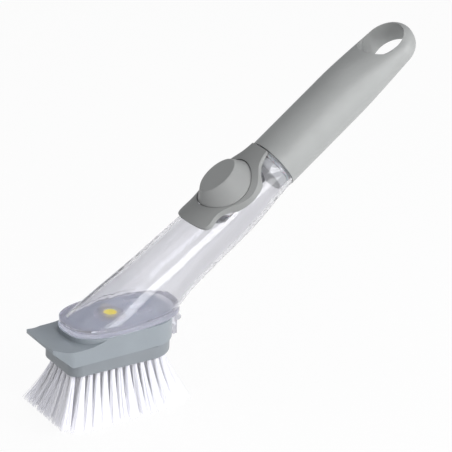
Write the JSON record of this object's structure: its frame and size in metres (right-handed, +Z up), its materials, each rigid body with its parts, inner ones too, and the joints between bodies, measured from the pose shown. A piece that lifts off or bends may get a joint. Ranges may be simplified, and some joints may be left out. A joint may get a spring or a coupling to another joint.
{
  "type": "dish wand",
  "caption": "Soap dispensing dish wand with a clear reservoir, a thumb pump, a screw-off grip and a clip-on brush head.",
  "frame": {"origin": "middle of the object's box at the level of the bristle tips", "axes": "+X from the scraper towards the hanging loop, +Y across the brush, +Z up from the bristle tips"},
  "size_m": [0.2415, 0.0505, 0.1909],
  "materials": {
    "grip_grey": "satin mid grey",
    "bezel_grey": "matte darker grey",
    "button_grey": "matte soft grey",
    "clear_plastic": "clear, glossy, see-through",
    "shell_grey": "satin blue-grey",
    "block_grey": "satin blue-grey, slightly lighter",
    "valve_yellow": "soft yellow silicone",
    "seal_rubber": "soft translucent grey rubber",
    "bristle_white": "white nylon filament"
  },
  "bodies": {
    "wand": {"reservoir": "clear_plastic", "reservoir_floor": "clear_plastic", "slit_valve": "valve_yellow", "valve_retainer": "clear_plastic", "pump_bezel": "bezel_grey", "pump_bellows": "seal_rubber", "bellows_clamp": "bezel_grey"},
    "button": {"pump_button": "button_grey"},
    "seal_ring": {"spigot_seal": "seal_rubber"},
    "grip": {"grip_shell": "grip_grey", "grip_spigot": "grip_grey"},
    "latch": {"rear_latch": "clear_plastic"},
    "head": {"head_shell": "shell_grey", "brush_block": "block_grey", "soap_duct": "block_grey", "duct_seal": "seal_rubber", "bristles_front": "bristle_white", "bristles_middle": "bristle_white", "bristles_rear": "bristle_white"}
  },
  "joints": [
    {"name": "button_press", "type": "slide", "parent": "wand", "child": "button", "axis": [0.5878, 0, -0.809], "range_m": [0, 0.0025], "stiffness_N_per_m": 2000, "deforming": ["pump_bellows"]},
    {"name": "grip_lift", "type": "slide", "parent": "wand", "child": "seal_ring", "axis": [0.809, 0, 0.5878], "range_m": [0, 0.008]},
    {"name": "grip_turn", "type": "hinge", "parent": "seal_ring", "child": "grip", "pos_m": [0.02835, 0, 0.12198], "axis": [0.809, 0, 0.5878], "range_deg": [0, 360]},
    {"name": "head_tilt", "type": "hinge", "parent": "wand", "child": "head", "pos_m": [-0.1021, 0, 0.0492], "axis": [0, 1, 0], "range_deg": [0, 8]},
    {"name": "latch_flex", "type": "hinge", "parent": "wand", "child": "latch", "pos_m": [-0.0371, 0, 0.0498], "axis": [0, -1, 0], "range_deg": [0, 20], "stiffness_Nm_per_rad": 0.05}
  ],
  "couplings": [
    {"joint": "grip_turn", "follows": "grip_lift", "rad_per_m": 785.4},
    {"joint": "latch_flex", "follows": "head_tilt", "ratio": 2.45}
  ]
}
